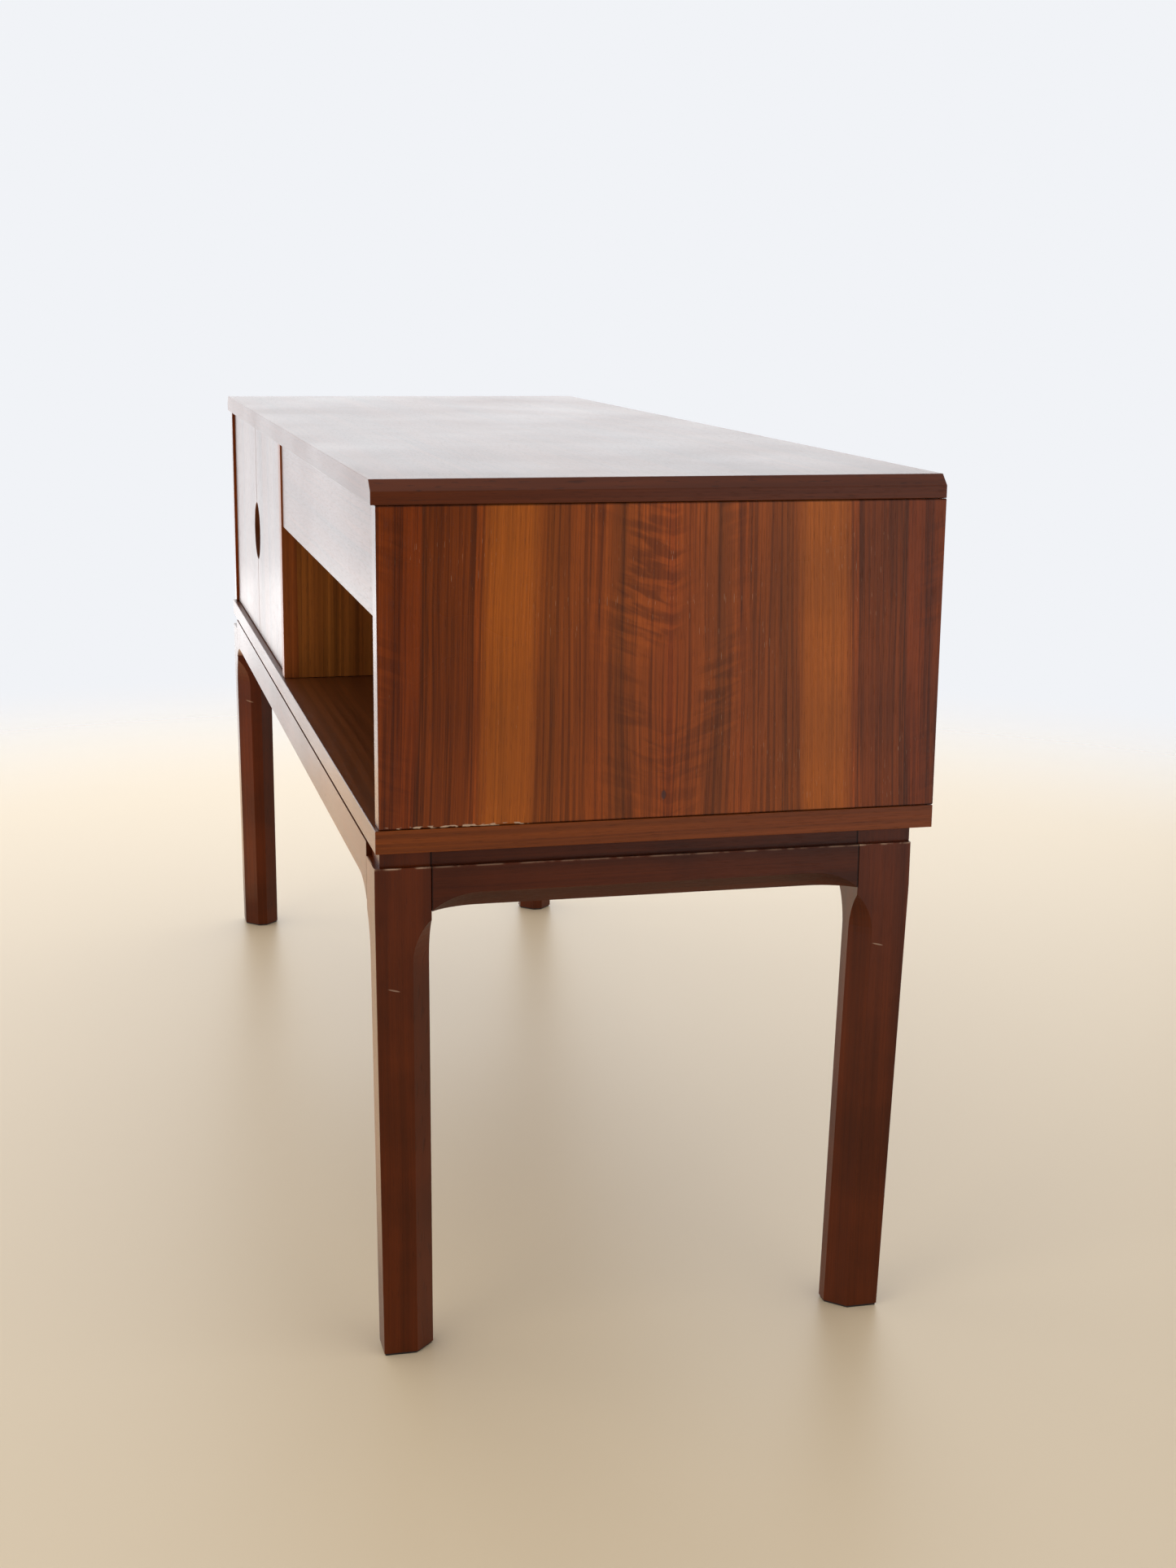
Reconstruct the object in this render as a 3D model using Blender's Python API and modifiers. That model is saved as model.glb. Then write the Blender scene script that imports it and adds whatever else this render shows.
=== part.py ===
"""Low television bench: a veneered walnut case on a separate solid wood base frame.

The case holds a pair of pivot hung doors on one side and a drawer above an open niche on the
other. Units are metres. +Z is up, the front faces -Y, and the origin is the middle of the
footprint on the floor.
"""
import math

import bmesh
import bpy
from mathutils import Matrix, Vector

# ---------------------------------------------------------------- driving dimensions
LENGTH = 1.200
DEPTH = 0.420
HEIGHT = 0.650
BOARD_T = 0.017            # top and bottom boards
PANEL_T = 0.018            # side panels, divider, doors and drawer front
CASE_H = 0.2624            # top of the case down to the underside of its bottom board
GAP = 0.0003               # clearance kept between pieces that touch
ARRIS = 0.0005             # rounding on a sharp wooden edge
SQUARE_EDGE = 60.0         # degrees; only square corners are rounded on a board
ANY_EDGE = 35.0            # degrees; chamfered corners are rounded as well

TOP_CHAMFER_X = 0.0088     # chamfer on the upper half of the top board's short ends
TOP_CHAMFER_Z = 0.0078
JOINT_GROOVE = 0.0008      # small chamfer that makes a fine groove above and below a side panel

BOTTOM_FRONT_SETBACK = 0.0008      # all setbacks are measured from the top board's front edge
PANEL_FRONT_SETBACK = 0.0034
DRAWER_FRONT_SETBACK = 0.0050
DOOR_FRONT_SETBACK = 0.0064

DIVIDER_X = -0.039         # middle of the divider
BACK_T = 0.006
BACK_SETBACK = 0.008

DRAWER_FRONT_H = 0.079
DRAWER_GAP = 0.0012
DRAWER_SIDE_T = 0.012
DRAWER_SIDE_H = 0.062
DRAWER_SIDE_RISE = 0.012   # the front hangs this far below the drawer sides, as a finger grip
DRAWER_BACK_T = 0.010
DRAWER_LENGTH = 0.338
DRAWER_BOTTOM_T = 0.004
DRAWER_BOTTOM_RISE = 0.005
DRAWER_BACK_DROP = 0.004   # top of the drawer back below the top of its sides
DRAWER_GROOVE_D = 0.005
RUNNER_H = 0.010
RUNNER_ABOVE_MIDDLE = 0.004
RUNNER_BITE = 0.006        # how far a runner reaches into the groove of the drawer side
RUNNER_LENGTH = 0.322
RUNNER_INSET = 0.017       # front of a runner behind the back of the drawer front

DOOR_GAP_SIDE = 0.0015
DOOR_GAP_SEAM = 0.0014
DOOR_GAP_ENDS = 0.0015
FINGER_HOLE_R = 0.0305
HOLE_SEGMENTS = 28         # facets on each door's half of the finger hole
PIVOT_FROM_SIDE = 0.009    # pivot axis to the case side next to it
PIVOT_FROM_FACE = 0.004    # pivot axis to the door's front face
PIN_R = 0.002
PIN_LENGTH = 0.0095
PIN_CLEARANCE = 0.0004
PLATE_L = 0.036
PLATE_W = 0.012
PLATE_T = 0.002
PLATE_END = 0.0045         # plate end beyond the pivot axis
PLATE_FACE_MARGIN = 0.001
WASHER_R = 0.0045
WASHER_T = 0.0009

CATCH = Vector((0.028, 0.015, 0.012))
CATCH_FROM_SEAM = 0.004
STRIKE = Vector((0.024, 0.0012, 0.011))
STRIKE_DROP = 0.003        # strike plate below the top board

FRAME_END_INSET = 0.0047   # base frame behind the case ends
FRAME_FRONT_INSET = 0.0006
FRAME_BACK_INSET = 0.0142
REBATE_H = 0.0120          # shadow gap cut around the legs and end rails, under the case
REBATE_D = 0.0042
FRONT_GROOVE_H = 0.0016    # the front rail reaches higher, and leaves only a fine groove
RAIL_DEPTH = 0.0451
RAIL_T = 0.022
LEG_TOP = 0.041
LEG_FOOT = 0.039
LEG_CHAMFER = 0.0140
RAIL_CHAMFER = 0.0130
LEG_RUNOUT = 0.032         # length over which a leg chamfer dies out under the rails
RAIL_RUNOUT = 0.036
LEG_STOP = 0.006           # plain leg left between the rail and the chamfer's tip
RUNOUT_STEPS = 9
RUNOUT_CURVE = 0.85        # shape of the run-out, 1.0 would be a parabola
RUNOUT_CROWDING = 1.6      # how much closer together its steps are near the tip
FRONT_LEG_LEAN = 0.0034    # the feet stand this far inside the leg tops
BACK_LEG_LEAN = 0.0120
GLIDE_T = 0.0015
GLIDE_INSET = 0.0008       # dark sole plate inside the foot's outline

BLOCK_ARM = 0.040
BLOCK_H = 0.028
SCREW_R = 0.0022
SCREW_HEAD_R = 0.0045
SCREW_HEAD_H = 0.0028
SCREW_HEAD_CROWN = 0.8     # flat of the head as a share of its radius
SCREW_POINT_H = 0.0044
SCREW_INSET = 0.005        # screw axis from the leg's corner, into the block
SCREW_LENGTH = 0.040
ROUND_SIDES = 20

# ---------------------------------------------------------------- levels and planes
X_END = LENGTH / 2
Y_FRONT = -DEPTH / 2
Y_BACK = DEPTH / 2
TOP_UNDER = HEIGHT - BOARD_T
BOARD_UNDER = HEIGHT - CASE_H
FLOOR_LEVEL = BOARD_UNDER + BOARD_T          # inside floor of the case
SIDE_INNER = X_END - PANEL_T
DIVIDER_LEFT = DIVIDER_X - PANEL_T / 2
DIVIDER_RIGHT = DIVIDER_X + PANEL_T / 2
PANEL_FRONT = Y_FRONT + PANEL_FRONT_SETBACK
BACK_OUTER = Y_BACK - BACK_SETBACK
BACK_INNER = BACK_OUTER - BACK_T
DOOR_FACE = Y_FRONT + DOOR_FRONT_SETBACK
DOOR_BACK = DOOR_FACE + PANEL_T
DOOR_TOP = TOP_UNDER - DOOR_GAP_ENDS
DOOR_FOOT = FLOOR_LEVEL + DOOR_GAP_ENDS
SEAM_X = (DIVIDER_LEFT - SIDE_INNER) / 2
PIVOT_Y = DOOR_FACE + PIVOT_FROM_FACE
FRAME_TOP = BOARD_UNDER - GAP
LEDGE = BOARD_UNDER - REBATE_H
RAIL_UNDER = BOARD_UNDER - RAIL_DEPTH
FRAME_X = X_END - FRAME_END_INSET
FRAME_FRONT = Y_FRONT + FRAME_FRONT_INSET
FRAME_BACK = Y_BACK - FRAME_BACK_INSET
LEG_UNDER = GLIDE_T + GAP

# ---------------------------------------------------------------- finishes: colour, roughness, metallic
WALNUT = ((0.150, 0.052, 0.022), 0.34, 0.0)
WALNUT_DARK = ((0.080, 0.024, 0.012), 0.36, 0.0)
WALNUT_INSIDE = ((0.180, 0.078, 0.028), 0.45, 0.0)
BEECH = ((0.480, 0.300, 0.160), 0.55, 0.0)
PLY = ((0.300, 0.170, 0.085), 0.60, 0.0)
BRASS = ((0.700, 0.500, 0.220), 0.35, 1.0)
STEEL = ((0.560, 0.560, 0.550), 0.35, 1.0)
BROWN_PLASTIC = ((0.100, 0.055, 0.035), 0.45, 0.0)
NYLON = ((0.060, 0.045, 0.038), 0.55, 0.0)

PARTS = None
CUTTERS = None


# ---------------------------------------------------------------- scene helpers
def start():
    """Empties the scene and makes the two collections."""
    global PARTS, CUTTERS
    for old in list(bpy.data.objects):
        bpy.data.objects.remove(old, do_unlink=True)
    PARTS = bpy.data.collections.new("television_bench")
    CUTTERS = bpy.data.collections.new("cutters")
    bpy.context.scene.collection.children.link(PARTS)
    bpy.context.scene.collection.children.link(CUTTERS)


def add_object(name, mesh, finish=None):
    """Links a mesh as a part, or as a cutter when it has no finish."""
    obj = bpy.data.objects.new(name, mesh)
    if finish is None:
        CUTTERS.objects.link(obj)
        obj.hide_render = True
        obj.display_type = "WIRE"
        return obj
    PARTS.objects.link(obj)
    colour, roughness, metallic = finish
    material = bpy.data.materials.new(name + "_finish")
    material.use_nodes = True
    shader = material.node_tree.nodes["Principled BSDF"]
    shader.inputs["Base Color"].default_value = (*colour, 1.0)
    shader.inputs["Roughness"].default_value = roughness
    shader.inputs["Metallic"].default_value = metallic
    mesh.materials.append(material)
    return obj


def mesh_from(name, bm):
    """Turns a bmesh into mesh data with outward faces."""
    bmesh.ops.recalc_face_normals(bm, faces=bm.faces)
    mesh = bpy.data.meshes.new(name)
    bm.to_mesh(mesh)
    bm.free()
    return mesh


def add_bevel(obj, width, angle):
    """Rounds every edge sharper than the angle, in degrees."""
    bevel = obj.modifiers.new("arris", "BEVEL")
    bevel.width = width
    bevel.segments = 2
    bevel.limit_method = "ANGLE"
    bevel.angle_limit = math.radians(angle)


def boolean(obj, tool, operation="DIFFERENCE"):
    """Cuts or joins with another object."""
    cut = obj.modifiers.new(tool.name, "BOOLEAN")
    cut.operation = operation
    cut.solver = "EXACT"
    cut.object = tool


def box(name, low, high, finish=None, arris=ARRIS, chamfered=None, chamfer=JOINT_GROOVE):
    """A board between two opposite corners; chamfered picks edges that get a chamfer instead."""
    size = Vector([abs(b - a) for a, b in zip(low, high)])
    centre = (Vector(high) + Vector(low)) / 2
    bm = bmesh.new()
    bmesh.ops.create_cube(bm, size=1.0)
    bmesh.ops.scale(bm, vec=size, verts=bm.verts)
    if chamfered:
        edges = [edge for edge in bm.edges if chamfered(edge, size / 2)]
        bmesh.ops.bevel(bm, geom=edges, offset=chamfer, segments=1, affect="EDGES")
    obj = add_object(name, mesh_from(name, bm), finish)
    obj.location = centre
    if finish and arris:
        add_bevel(obj, arris, SQUARE_EDGE)
    return obj


def prism(name, outline, thickness, matrix, finish=None, arris=0.0):
    """A flat outline given thickness, centred on its own plane, then placed by a matrix."""
    curve = bpy.data.curves.new(name, "CURVE")
    curve.dimensions = "2D"
    curve.fill_mode = "BOTH"
    curve.extrude = thickness / 2
    spline = curve.splines.new("POLY")
    spline.points.add(len(outline) - 1)
    for point, (across, along) in zip(spline.points, outline):
        point.co = (across, along, 0.0, 1.0)
    spline.use_cyclic_u = True
    source = bpy.data.objects.new(name + "_outline", curve)
    CUTTERS.objects.link(source)
    graph = bpy.context.evaluated_depsgraph_get()
    mesh = bpy.data.meshes.new_from_object(source.evaluated_get(graph))
    bpy.data.objects.remove(source, do_unlink=True)
    bm = bmesh.new()
    bm.from_mesh(mesh)
    bmesh.ops.remove_doubles(bm, verts=bm.verts, dist=0.00001)
    bmesh.ops.dissolve_limit(bm, angle_limit=0.001, verts=bm.verts, edges=bm.edges)
    bpy.data.meshes.remove(mesh)
    obj = add_object(name, mesh_from(name, bm), finish)
    obj.matrix_world = matrix
    if arris:
        add_bevel(obj, arris, ANY_EDGE)
    return obj


def rod(name, radius, bottom, top, x, y, finish=None, sides=ROUND_SIDES):
    """An upright cylinder between two levels."""
    bm = bmesh.new()
    bmesh.ops.create_cone(bm, cap_ends=True, segments=sides, radius1=radius, radius2=radius,
                          depth=top - bottom)
    obj = add_object(name, mesh_from(name, bm), finish)
    obj.location = (x, y, (top + bottom) / 2)
    return obj


def loft(name, rings, finish):
    """Skins a row of matching rings and closes both ends."""
    bm = bmesh.new()
    rows = [[bm.verts.new(point) for point in ring] for ring in rings]
    count = len(rows[0])
    for near, far in zip(rows, rows[1:]):
        for i in range(count):
            following = (i + 1) % count
            bm.faces.new((near[i], near[following], far[following], far[i]))
    bm.faces.new(rows[0])
    bm.faces.new(rows[-1])
    return add_object(name, mesh_from(name, bm), finish)


def side_groups():
    """Both ends of the bench, as a name and a sign along X."""
    return (("left", -1.0), ("right", 1.0))


# ---------------------------------------------------------------- case
def upper_or_lower_outer_edge(sign):
    """Picks the long edges of a side panel that meet the boards on the outside."""
    def pick(edge, half):
        flat = all(abs(abs(vert.co.z) - half.z) < GAP for vert in edge.verts)
        same_level = abs(edge.verts[0].co.z - edge.verts[1].co.z) < GAP
        outer = all(abs(vert.co.x - sign * half.x) < GAP for vert in edge.verts)
        return flat and same_level and outer
    return pick


def make_case():
    """Top, bottom, two sides, the divider and the thin back."""
    half_top = BOARD_T / 2
    outline = [
        (-X_END, -half_top),
        (X_END, -half_top),
        (X_END, half_top - TOP_CHAMFER_Z),
        (X_END - TOP_CHAMFER_X, half_top),
        (-X_END + TOP_CHAMFER_X, half_top),
        (-X_END, half_top - TOP_CHAMFER_Z),
    ]
    upright = Matrix.Translation((0, 0, HEIGHT - half_top)) @ Matrix.Rotation(math.pi / 2, 4, "X")
    top = prism("top_panel", outline, DEPTH, upright, WALNUT, ARRIS)
    bottom = box("bottom_panel", (-X_END, Y_FRONT + BOTTOM_FRONT_SETBACK, BOARD_UNDER),
                 (X_END, Y_BACK, FLOOR_LEVEL), WALNUT)
    low = FLOOR_LEVEL + GAP
    high = TOP_UNDER - GAP
    for side, sign in side_groups():
        inner, outer = sorted((sign * SIDE_INNER, sign * X_END))
        box("side_panel_" + side, (inner, PANEL_FRONT, low), (outer, Y_BACK, high), WALNUT,
            chamfered=upper_or_lower_outer_edge(sign))
    box("centre_divider", (DIVIDER_LEFT, PANEL_FRONT, low),
        (DIVIDER_RIGHT, BACK_INNER - GAP, high), WALNUT)
    box("back_panel", (-SIDE_INNER + GAP, BACK_INNER, low), (SIDE_INNER - GAP, BACK_OUTER, high),
        PLY)
    return top, bottom


# ---------------------------------------------------------------- drawer
def make_drawer():
    """A drawer that hangs on two runners let into its sides."""
    left = DIVIDER_RIGHT + DRAWER_GAP
    right = SIDE_INNER - DRAWER_GAP
    top = TOP_UNDER - DRAWER_GAP
    foot = top - DRAWER_FRONT_H
    face = Y_FRONT + DRAWER_FRONT_SETBACK
    front_back = face + PANEL_T
    side_low = foot + DRAWER_SIDE_RISE
    side_high = side_low + DRAWER_SIDE_H
    side_start = front_back + GAP
    side_end = side_start + DRAWER_LENGTH
    bottom_low = side_low + DRAWER_BOTTOM_RISE
    bottom_high = bottom_low + DRAWER_BOTTOM_T
    runner_z = (side_low + side_high) / 2 + RUNNER_ABOVE_MIDDLE
    runner_start = front_back + RUNNER_INSET

    front = box("drawer_front", (left, face, foot), (right, front_back, top), WALNUT)
    moving = [front]
    front_groove = box("drawer_front_groove",
                       (left + DRAWER_SIDE_T - DRAWER_GROOVE_D - GAP, front_back - DRAWER_GROOVE_D,
                        bottom_low - GAP),
                       (right - DRAWER_SIDE_T + DRAWER_GROOVE_D + GAP, front_back + DRAWER_GROOVE_D,
                        bottom_high + GAP))
    boolean(front, front_groove)
    moving.append(front_groove)
    for side, sign, outer in (("left", -1.0, left), ("right", 1.0, right)):
        inner = outer - sign * DRAWER_SIDE_T
        wall = box("drawer_side_" + side, (inner, side_start, side_low),
                   (outer, side_end, side_high), BEECH)
        bottom_slot = box("drawer_bottom_slot_" + side,
                          (inner - DRAWER_GROOVE_D, side_start - DRAWER_GROOVE_D, bottom_low - GAP),
                          (inner + DRAWER_GROOVE_D, side_end + DRAWER_GROOVE_D, bottom_high + GAP))
        boolean(wall, bottom_slot)
        reach = RUNNER_BITE + GAP
        runner_slot = box("runner_slot_" + side,
                          (outer - reach, runner_start - GAP, runner_z - RUNNER_H / 2 - GAP),
                          (outer + reach, side_end + reach, runner_z + RUNNER_H / 2 + GAP))
        boolean(wall, runner_slot)
        moving += [wall, bottom_slot, runner_slot]
        case_side = outer + sign * (DRAWER_GAP - GAP)
        tip = outer - sign * RUNNER_BITE
        box("drawer_runner_" + side, (case_side, runner_start, runner_z - RUNNER_H / 2),
            (tip, runner_start + RUNNER_LENGTH, runner_z + RUNNER_H / 2), BEECH)
    back = box("drawer_back", (left + DRAWER_SIDE_T + GAP, side_end - DRAWER_BACK_T, bottom_high + GAP),
               (right - DRAWER_SIDE_T - GAP, side_end, side_high - DRAWER_BACK_DROP), BEECH)
    bottom = box(
        "drawer_bottom",
        (left + DRAWER_SIDE_T - DRAWER_GROOVE_D + GAP, front_back - DRAWER_GROOVE_D + GAP,
         bottom_low),
        (right - DRAWER_SIDE_T + DRAWER_GROOVE_D - GAP, side_end, bottom_high), PLY, 0.0)
    moving += [back, bottom]
    hang("drawer_axis", ((left + right) / 2, face, (foot + top) / 2), moving)


# ---------------------------------------------------------------- doors and their pivots
def door_outline(width, height):
    """A door seen from the front: hinge edge at 0, half the finger hole in the far edge."""
    centre = width + DOOR_GAP_SEAM / 2
    start = math.acos(-DOOR_GAP_SEAM / 2 / FINGER_HOLE_R)
    sweep = 2 * math.pi - 2 * start
    points = [(0.0, -height / 2), (width, -height / 2)]
    for step in range(HOLE_SEGMENTS + 1):
        angle = -start - sweep * step / HOLE_SEGMENTS
        points.append((centre + FINGER_HOLE_R * math.cos(angle), FINGER_HOLE_R * math.sin(angle)))
    points += [(width, height / 2), (0.0, height / 2)]
    return points


def hang(name, location, pieces):
    """Parents pieces to an empty on their joint's axis, leaving them where they are."""
    axis = bpy.data.objects.new(name, None)
    axis.location = location
    PARTS.objects.link(axis)
    for piece in pieces:
        piece.parent = axis
        piece.matrix_parent_inverse = Matrix.Translation(location).inverted()


def make_pivot(door, board, label, x, into_door, way):
    """A plate with a pin let into a case board, and the drilled plate let into the door's edge.

    into_door is the sign along X from the pivot into the door. way is 1 at the door's top and
    -1 at its foot. Returns the pieces that move with the door.
    """
    board_face = TOP_UNDER if way > 0 else FLOOR_LEVEL
    door_edge = DOOR_TOP if way > 0 else DOOR_FOOT
    end_x = x - into_door * PLATE_END
    far_x = end_x + into_door * PLATE_L
    front = DOOR_FACE + PLATE_FACE_MARGIN
    back = front + PLATE_W
    pin_tip = board_face - way * PIN_LENGTH
    margin = into_door * GAP

    case_plate = box("case_pivot_" + label, (end_x, front, board_face),
                     (far_x, back, board_face + way * PLATE_T), BRASS, 0.0)
    pin = rod("pin_" + label, PIN_R, *sorted((board_face + way * PLATE_T / 2, pin_tip)), x, PIVOT_Y)
    boolean(case_plate, pin, "UNION")
    case_recess = box("case_recess_" + label, (end_x - margin, front - GAP, board_face - way * PLATE_T),
                      (far_x + margin, back + GAP, board_face + way * (PLATE_T + GAP)))
    boolean(board, case_recess)

    door_plate = box("door_pivot_" + label, (end_x, front, door_edge),
                     (far_x, back, door_edge - way * PLATE_T), BRASS, 0.0)
    drill = rod("plate_drill_" + label, PIN_R + PIN_CLEARANCE,
                *sorted((door_edge + way * PLATE_T, door_edge - way * 2 * PLATE_T)), x, PIVOT_Y)
    boolean(door_plate, drill)
    door_recess = box("door_recess_" + label, (end_x - margin, front - GAP, door_edge + way * PLATE_T),
                      (far_x + margin, back + GAP, door_edge - way * (PLATE_T + GAP)))
    boolean(door, door_recess)
    pin_well = rod("pin_well_" + label, PIN_R + PIN_CLEARANCE,
                   *sorted((door_edge, pin_tip - way * PLATE_T)), x, PIVOT_Y)
    boolean(door, pin_well)
    return [door_plate, drill, door_recess, pin_well]


def make_washer(side, x):
    """The thin ring that the door stands on, round the lower pin."""
    low = FLOOR_LEVEL + GAP
    ring = rod("pivot_washer_" + side, WASHER_R, low, low + WASHER_T, x, PIVOT_Y, BRASS)
    bore = rod("washer_bore_" + side, PIN_R + PIN_CLEARANCE, low - WASHER_T, low + 2 * WASHER_T, x,
               PIVOT_Y)
    boolean(ring, bore)


def make_doors(top, bottom):
    """Two doors that meet at a seam through the finger hole, hung on pins near their outer edges."""
    width = SEAM_X - DOOR_GAP_SEAM / 2 - (-SIDE_INNER + DOOR_GAP_SIDE)
    height = DOOR_TOP - DOOR_FOOT
    level = (DOOR_TOP + DOOR_FOOT) / 2
    edges = (("left", -SIDE_INNER, 1.0), ("right", DIVIDER_LEFT, -1.0))
    for side, case_x, into_door in edges:
        hinge_edge = case_x + into_door * DOOR_GAP_SIDE
        outline = [(into_door * across, up) for across, up in door_outline(width, height)]
        place = Matrix.Translation((hinge_edge, (DOOR_FACE + DOOR_BACK) / 2, level))
        upright = place @ Matrix.Rotation(math.pi / 2, 4, "X")
        door = prism("door_" + side, outline, PANEL_T, upright, WALNUT, ARRIS)
        pivot_x = case_x + into_door * PIVOT_FROM_SIDE
        moving = [door]
        moving += make_pivot(door, top, side + "_top", pivot_x, into_door, 1.0)
        moving += make_pivot(door, bottom, side + "_foot", pivot_x, into_door, -1.0)
        make_washer(side, pivot_x)

        seam_side = SEAM_X - into_door * CATCH_FROM_SEAM
        strike_top = TOP_UNDER - STRIKE_DROP
        strike = box("door_strike_" + side, (seam_side, DOOR_BACK + GAP, strike_top),
                     (seam_side - into_door * STRIKE.x, DOOR_BACK + GAP + STRIKE.y,
                      strike_top - STRIKE.z), STEEL, 0.0)
        moving.append(strike)
        catch_front = DOOR_BACK + STRIKE.y + 2 * GAP
        catch_top = TOP_UNDER - GAP
        box("door_catch_" + side, (seam_side, catch_front, catch_top),
            (seam_side - into_door * CATCH.x, catch_front + CATCH.y, catch_top - CATCH.z),
            BROWN_PLASTIC)
        hang("door_" + side + "_axis", (pivot_x, PIVOT_Y, level), moving)


# ---------------------------------------------------------------- base frame
def runout(part):
    """How much of a chamfer is left, from 0 at its tip to 1 where it runs full width."""
    part = min(max(part, 0.0), 1.0)
    return (1.0 - (1.0 - part) ** 2) ** RUNOUT_CURVE


def runout_parts():
    """Places along a run-out, closer together near its tip."""
    return [(step / RUNOUT_STEPS) ** RUNOUT_CROWDING for step in range(RUNOUT_STEPS + 1)]


def leg_ring(level, out_x, out_y, signs, width, chamfer):
    """A square section with its outermost corner sharp and the other three chamfered."""
    cut = width - chamfer
    corners = (
        (ARRIS, 0.0), (cut, 0.0), (width, chamfer), (width, cut),
        (cut, width), (chamfer, width), (0.0, cut), (0.0, ARRIS),
    )
    return [Vector((out_x - signs[0] * u, out_y - signs[1] * v, level)) for u, v in corners]


def make_leg(name, signs):
    """A leg that leans in from the rails down, with pointed chamfer stops and a sole plate."""
    out_x = signs[0] * FRAME_X
    top_y = FRAME_BACK if signs[1] > 0 else FRAME_FRONT
    lean = BACK_LEG_LEAN if signs[1] > 0 else FRONT_LEG_LEAN
    tip = RAIL_UNDER - LEG_STOP
    levels = [(LEG_UNDER, LEG_CHAMFER)]
    for part in reversed(runout_parts()):
        levels.append((tip - LEG_RUNOUT * part, max(ARRIS, LEG_CHAMFER * runout(part))))
    levels += [(RAIL_UNDER, ARRIS), (FRAME_TOP, ARRIS)]
    rings = []
    for level, chamfer in levels:
        down = max(0.0, (RAIL_UNDER - level) / (RAIL_UNDER - LEG_UNDER))
        width = LEG_TOP + (LEG_FOOT - LEG_TOP) * down
        rings.append(leg_ring(level, out_x, top_y - signs[1] * lean * down, signs, width, chamfer))
    leg = loft(name, rings, WALNUT_DARK)
    foot_x = out_x - signs[0] * GLIDE_INSET
    foot_y = top_y - signs[1] * (lean + GLIDE_INSET)
    width = LEG_FOOT - 2 * GLIDE_INSET
    soles = [leg_ring(level, foot_x, foot_y, signs, width, LEG_CHAMFER) for level in (0.0, GLIDE_T)]
    loft(name.replace("leg", "foot_glide"), soles, NYLON)
    return leg


def make_rail(name, start, end, inward):
    """A rail whose lower outer edge is chamfered, with the chamfer dying out at both legs."""
    start = Vector(start)
    end = Vector(end)
    inward = Vector(inward)
    length = (end - start).length
    along = (end - start).normalized()
    near = [RAIL_RUNOUT * part for part in runout_parts()]
    places = near + [length - place for place in reversed(near)]
    rings = []
    for place in places:
        end_distance = min(place, length - place)
        chamfer = max(ARRIS, RAIL_CHAMFER * runout(end_distance / RAIL_RUNOUT))
        section = (
            (0.0, FRAME_TOP), (0.0, RAIL_UNDER + chamfer), (chamfer, RAIL_UNDER),
            (RAIL_T, RAIL_UNDER), (RAIL_T, FRAME_TOP),
        )
        base = start + along * place
        rings.append([base + inward * depth + Vector((0, 0, level)) for depth, level in section])
    return loft(name, rings, WALNUT_DARK)


def make_block(name, signs, corner_y, bottom):
    """A glue block across an inside corner of the frame, and the screw up into the case."""
    leg = LEG_TOP + GAP
    rail = RAIL_T + GAP
    shape = [(leg, rail), (leg + BLOCK_ARM, rail), (rail, leg + BLOCK_ARM), (rail, leg), (leg, leg)]
    outline = [(-signs[0] * (u - leg), -signs[1] * (v - leg)) for u, v in shape]
    corner = Vector((signs[0] * (FRAME_X - leg), corner_y - signs[1] * leg, 0.0))
    low = FRAME_TOP - BLOCK_H
    place = Matrix.Translation((corner.x, corner.y, low + BLOCK_H / 2))
    block = prism(name, outline, BLOCK_H, place, BEECH)

    x = corner.x - signs[0] * SCREW_INSET
    y = corner.y - signs[1] * SCREW_INSET
    tip = low + SCREW_LENGTH
    drill = rod(name + "_drill", SCREW_R + GAP, low - GAP * 2, tip + GAP * 2, x, y)
    boolean(block, drill)
    boolean(bottom, drill)
    head_face = low - GAP
    profile = [
        (0.0, tip), (SCREW_R, tip - SCREW_POINT_H), (SCREW_R, head_face), (SCREW_HEAD_R, head_face),
        (SCREW_HEAD_R * SCREW_HEAD_CROWN, head_face - SCREW_HEAD_H), (0.0, head_face - SCREW_HEAD_H),
    ]
    turned(name.replace("corner_block", "frame_screw"), profile, x, y, STEEL)


def turned(name, profile, x, y, finish):
    """Spins a profile, given from its top down, round an upright axis."""
    bm = bmesh.new()
    points = [bm.verts.new((radius, 0.0, level)) for radius, level in profile]
    for upper, lower in zip(points, points[1:]):
        bm.edges.new((upper, lower))
    mesh = bpy.data.meshes.new(name)
    bm.to_mesh(mesh)
    bm.free()
    obj = add_object(name, mesh, finish)
    obj.location = (x, y, 0.0)
    screw = obj.modifiers.new("turn", "SCREW")
    screw.angle = 2 * math.pi
    screw.steps = ROUND_SIDES
    screw.render_steps = ROUND_SIDES
    screw.use_merge_vertices = True
    screw.merge_threshold = 0.00001
    return obj


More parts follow.
